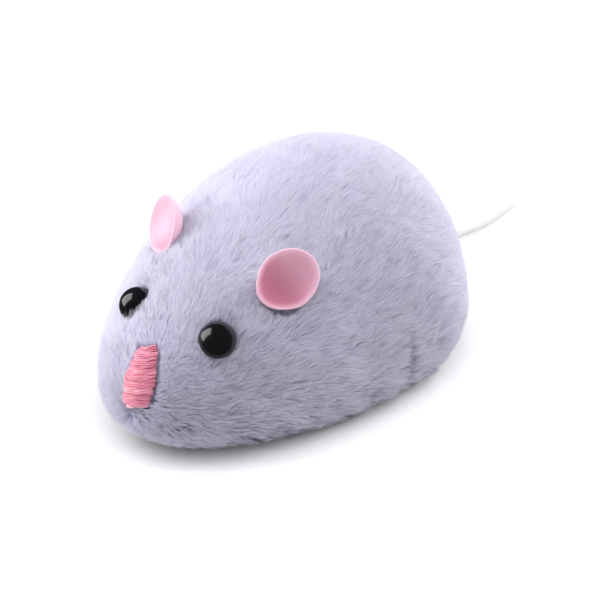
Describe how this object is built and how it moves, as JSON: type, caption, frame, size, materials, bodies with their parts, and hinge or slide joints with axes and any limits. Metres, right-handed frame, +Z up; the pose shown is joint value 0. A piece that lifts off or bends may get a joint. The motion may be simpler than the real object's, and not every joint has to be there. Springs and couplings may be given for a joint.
{
  "type": "clockwork toy mouse",
  "caption": "Wind-up toy mouse: a soft plush body over a plastic shell with bead eyes, soft ears and a rubber tail, driven across the floor by a spring motor.",
  "frame": {"origin": "on the floor under the middle of the body's length, on the plane of symmetry of the body", "axes": "-Y towards the nose, +Y towards the tail, +X towards the mouse's left side, +Z up"},
  "size_m": [0.073, 0.1351, 0.0455],
  "materials": {
    "plush": "short soft pile, combed back from the nose",
    "nose_thread": "satin-stitch thread",
    "eye_gloss": "polished bead",
    "ear_silicone": "soft satin silicone",
    "tail_rubber": "satin moulded",
    "shell_plastic": "as moulded",
    "chassis_plastic": "fine moulded texture",
    "washer_plastic": "as moulded",
    "motor_plastic": "as moulded",
    "gear_plastic": "natural nylon",
    "gear_brass": "stamped",
    "spring_steel": "blued strip",
    "steel": "drawn bright bar",
    "screw_steel": "bright plated",
    "wheel_plastic": "satin moulded",
    "tyre": "soft rubber with cross grooves",
    "knob_plastic": "satin moulded"
  },
  "bodies": {
    "root": {"plush_skin": "plush", "body_shell": "shell_plastic", "chassis": "chassis_plastic", "nose_embroidery": "nose_thread", "eye_left": "eye_gloss", "eye_right": "eye_gloss", "eye_washer_left": "washer_plastic", "eye_washer_right": "washer_plastic", "ear_left": "ear_silicone", "ear_right": "ear_silicone", "tail": "tail_rubber", "motor_case_right": "motor_plastic", "motor_case_left": "motor_plastic", "mainspring": "spring_steel", "idler_pin": "steel", "roller_pin": "steel", "chassis_screws": "screw_steel", "motor_screws": "screw_steel", "case_screws": "screw_steel"},
    "drive_wheels": {"drive_axle": "steel", "axle_pinion": "gear_plastic", "wheel_left": "wheel_plastic", "wheel_right": "wheel_plastic", "tyre_left": "tyre", "tyre_right": "tyre"},
    "idler": {"idler_gear": "gear_plastic"},
    "great_wheel": {"great_gear": "gear_brass", "click_spring": "spring_steel"},
    "winder": {"arbor": "steel", "ratchet_wheel": "steel", "winding_knob": "knob_plastic"},
    "roller": {"tail_roller": "wheel_plastic"}
  },
  "joints": [
    {"name": "drive_axle_spin", "type": "hinge", "parent": "root", "child": "drive_wheels", "pos_m": [0, -0.003, 0.009], "axis": [1, 0, 0], "continuous": true},
    {"name": "idler_spin", "type": "hinge", "parent": "root", "child": "idler", "pos_m": [0, 0.00456, 0.01845], "axis": [1, 0, 0], "continuous": true},
    {"name": "great_gear_spin", "type": "hinge", "parent": "root", "child": "great_wheel", "pos_m": [0, 0.016, 0.0145], "axis": [1, 0, 0], "continuous": true},
    {"name": "knob_wind", "type": "hinge", "parent": "great_wheel", "child": "winder", "pos_m": [0, 0.016, 0.0145], "axis": [1, 0, 0], "range_deg": [-1620, 0], "deforming": ["mainspring", "click_spring"]},
    {"name": "roller_spin", "type": "hinge", "parent": "root", "child": "roller", "pos_m": [0, 0.0315, 0.0038], "axis": [1, 0, 0], "continuous": true}
  ],
  "couplings": [
    {"joint": "idler_spin", "follows": "drive_axle_spin", "ratio": -0.33333},
    {"joint": "great_gear_spin", "follows": "drive_axle_spin", "ratio": 0.11111}
  ]
}
